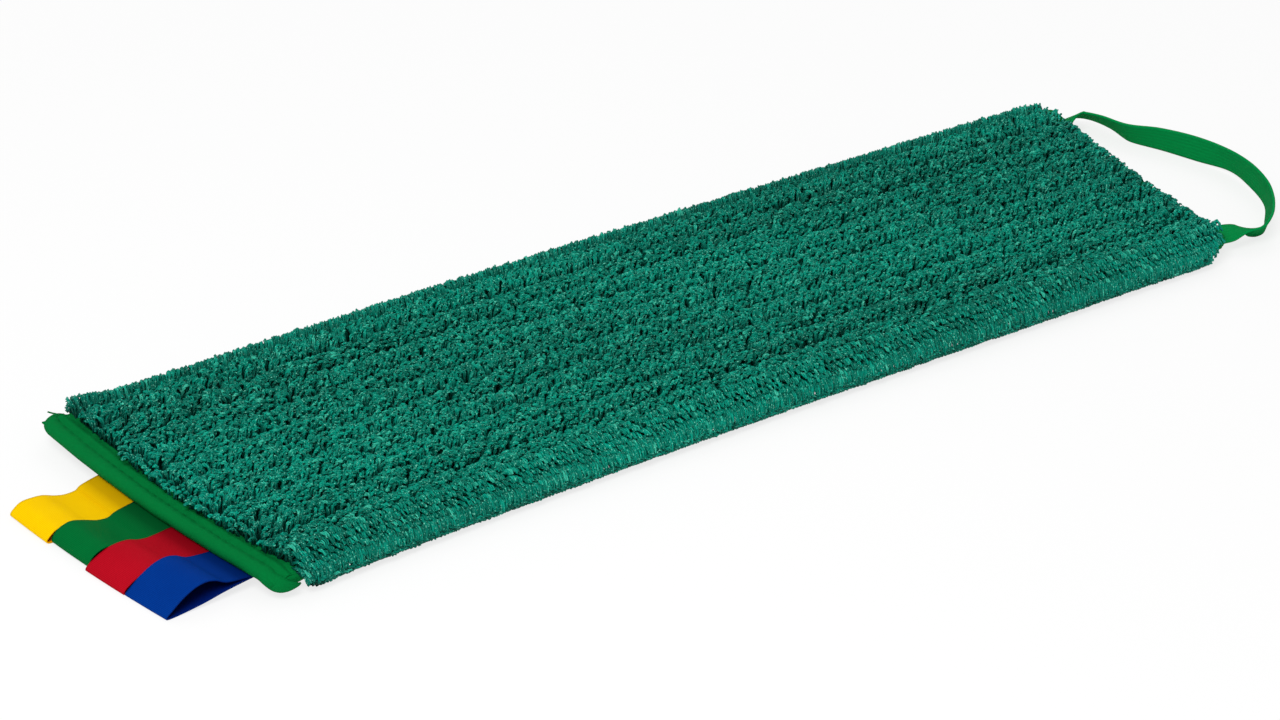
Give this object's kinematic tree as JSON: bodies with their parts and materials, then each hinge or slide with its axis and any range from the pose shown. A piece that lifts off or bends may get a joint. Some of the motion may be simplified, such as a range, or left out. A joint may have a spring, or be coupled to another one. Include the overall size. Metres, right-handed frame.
{
  "type": "flat mop",
  "caption": "Flat mop cover with a tufted pile, bound ends, a frame pocket on the back, folded colour tags at one end and a hook strap at the other.",
  "frame": {"origin": "middle of the cover, on the flat face of its back, which the mop frame lies against", "axes": "+X along the cover towards the strap end, +Y across it, +Z out of the pile"},
  "size_m": [0.544, 0.132, 0.0161],
  "materials": {
    "pile": "twisted microfibre loops, matt with small bright glints",
    "green_tape": "woven binding tape, matt",
    "green_cloth": "plain woven polyester, matt",
    "felt": "needled absorbent felt",
    "backing": "woven tufting backing, matt",
    "ribbon_yellow": "woven satin ribbon",
    "ribbon_green": "woven satin ribbon",
    "ribbon_red": "woven satin ribbon",
    "ribbon_blue": "woven satin ribbon",
    "strap": "woven elastic tape, matt",
    "thread": "spun polyester sewing thread"
  },
  "bodies": {
    "cover": {"back_cloth": "green_cloth", "core_felt": "felt", "pile_row_01": "pile", "pile_row_02": "pile", "pile_row_03": "pile", "pile_row_04": "pile", "pile_row_05": "pile", "pile_row_06": "pile", "pile_row_07": "pile", "pile_row_08": "pile", "pile_row_09": "pile", "pile_row_10": "pile", "pile_row_11": "pile", "pile_row_12": "pile", "pocket_end_hem": "green_tape", "pocket_mouth_hem": "green_tape", "pocket_panel": "green_cloth", "pocket_stitches": "thread", "side_hem_far": "green_tape", "side_hem_near": "green_tape", "strap_bar_tacks": "thread", "strap_end_binding": "green_tape", "strap_end_stitches": "thread", "strap_root_far": "strap", "strap_root_near": "strap", "tag_blue_root": "ribbon_blue", "tag_end_binding": "green_tape", "tag_end_facing": "green_tape", "tag_end_stitches": "thread", "tag_green_root": "ribbon_green", "tag_red_root": "ribbon_red", "tag_yellow_root": "ribbon_yellow", "tuft_backing": "backing"},
    "tag_yellow": {"tag_yellow": "ribbon_yellow"},
    "tag_green": {"tag_green": "ribbon_green"},
    "tag_red": {"tag_red": "ribbon_red"},
    "tag_blue": {"tag_blue": "ribbon_blue"},
    "strap": {"strap_loop": "strap"}
  },
  "joints": [
    {"name": "tag_yellow_swing", "type": "hinge", "parent": "cover", "child": "tag_yellow", "pos_m": [-0.234, 0.0187, -0.00095], "axis": [0, 1, 0], "range_deg": [-90, 90]},
    {"name": "tag_green_swing", "type": "hinge", "parent": "cover", "child": "tag_green", "pos_m": [-0.234, -0.0017, -0.00095], "axis": [0, 1, 0], "range_deg": [-90, 90]},
    {"name": "tag_red_swing", "type": "hinge", "parent": "cover", "child": "tag_red", "pos_m": [-0.234, -0.0221, -0.00095], "axis": [0, 1, 0], "range_deg": [-90, 90]},
    {"name": "tag_blue_swing", "type": "hinge", "parent": "cover", "child": "tag_blue", "pos_m": [-0.234, -0.0425, -0.00095], "axis": [0, 1, 0], "range_deg": [-90, 90]},
    {"name": "strap_swing", "type": "hinge", "parent": "cover", "child": "strap", "pos_m": [0.234, 0, -0.0008], "axis": [0, -1, 0], "range_deg": [-100, 90]}
  ]
}
